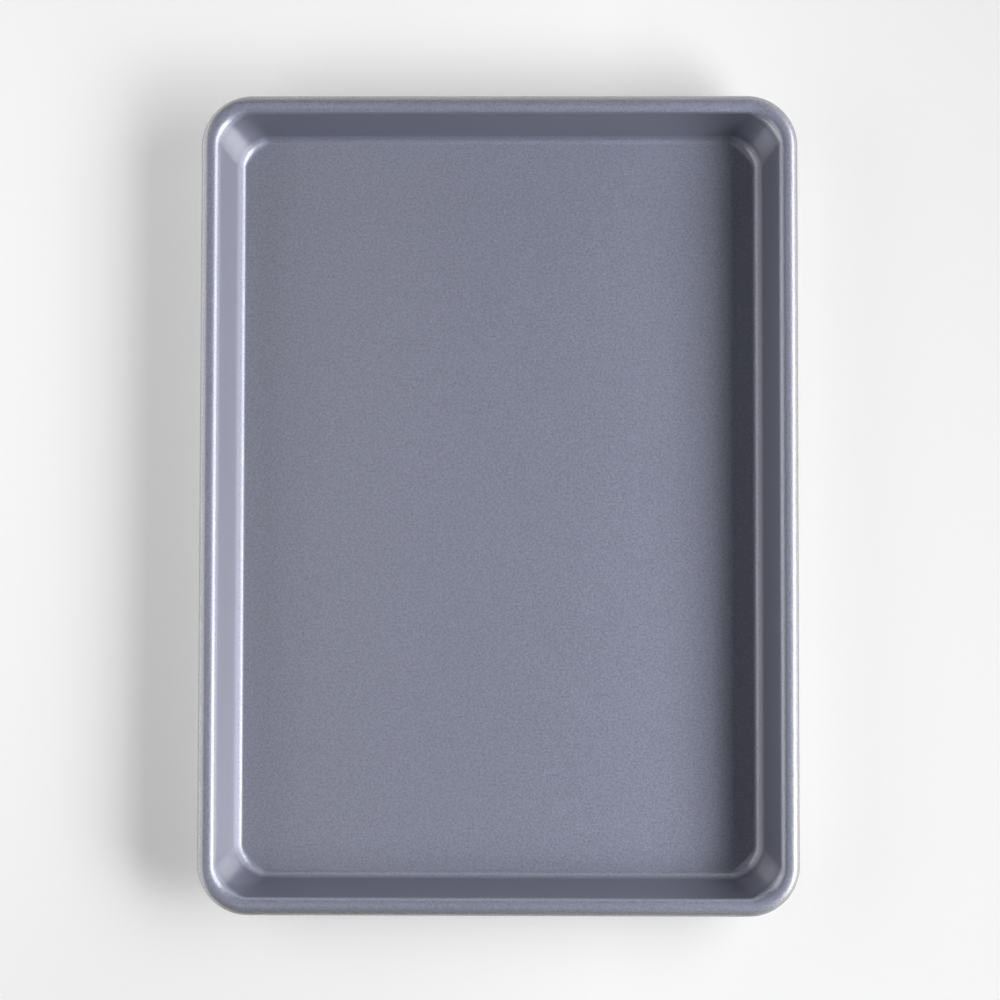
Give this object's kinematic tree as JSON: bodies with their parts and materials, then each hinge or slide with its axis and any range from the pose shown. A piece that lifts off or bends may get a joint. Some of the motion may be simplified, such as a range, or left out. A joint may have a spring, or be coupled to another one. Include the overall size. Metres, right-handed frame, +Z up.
{
  "type": "jelly roll pan",
  "caption": "Shallow rectangular baking pan with sloping walls, rounded corners and a rim curled round a reinforcing wire.",
  "frame": {"origin": "middle of the flat base, on the surface that the pan stands on", "axes": "+Z up out of the open top, +Y along the long side, +X along the short side"},
  "size_m": [0.287, 0.393, 0.0254],
  "materials": {
    "nonstick_coating": "slate-grey metallic non-stick coating with a fine sparkle, semi-gloss, over steel sheet",
    "steel_wire": "plain drawn wire"
  },
  "bodies": {
    "root": {"pan_shell": "nonstick_coating", "rim_wire": "steel_wire"}
  },
  "joints": []
}
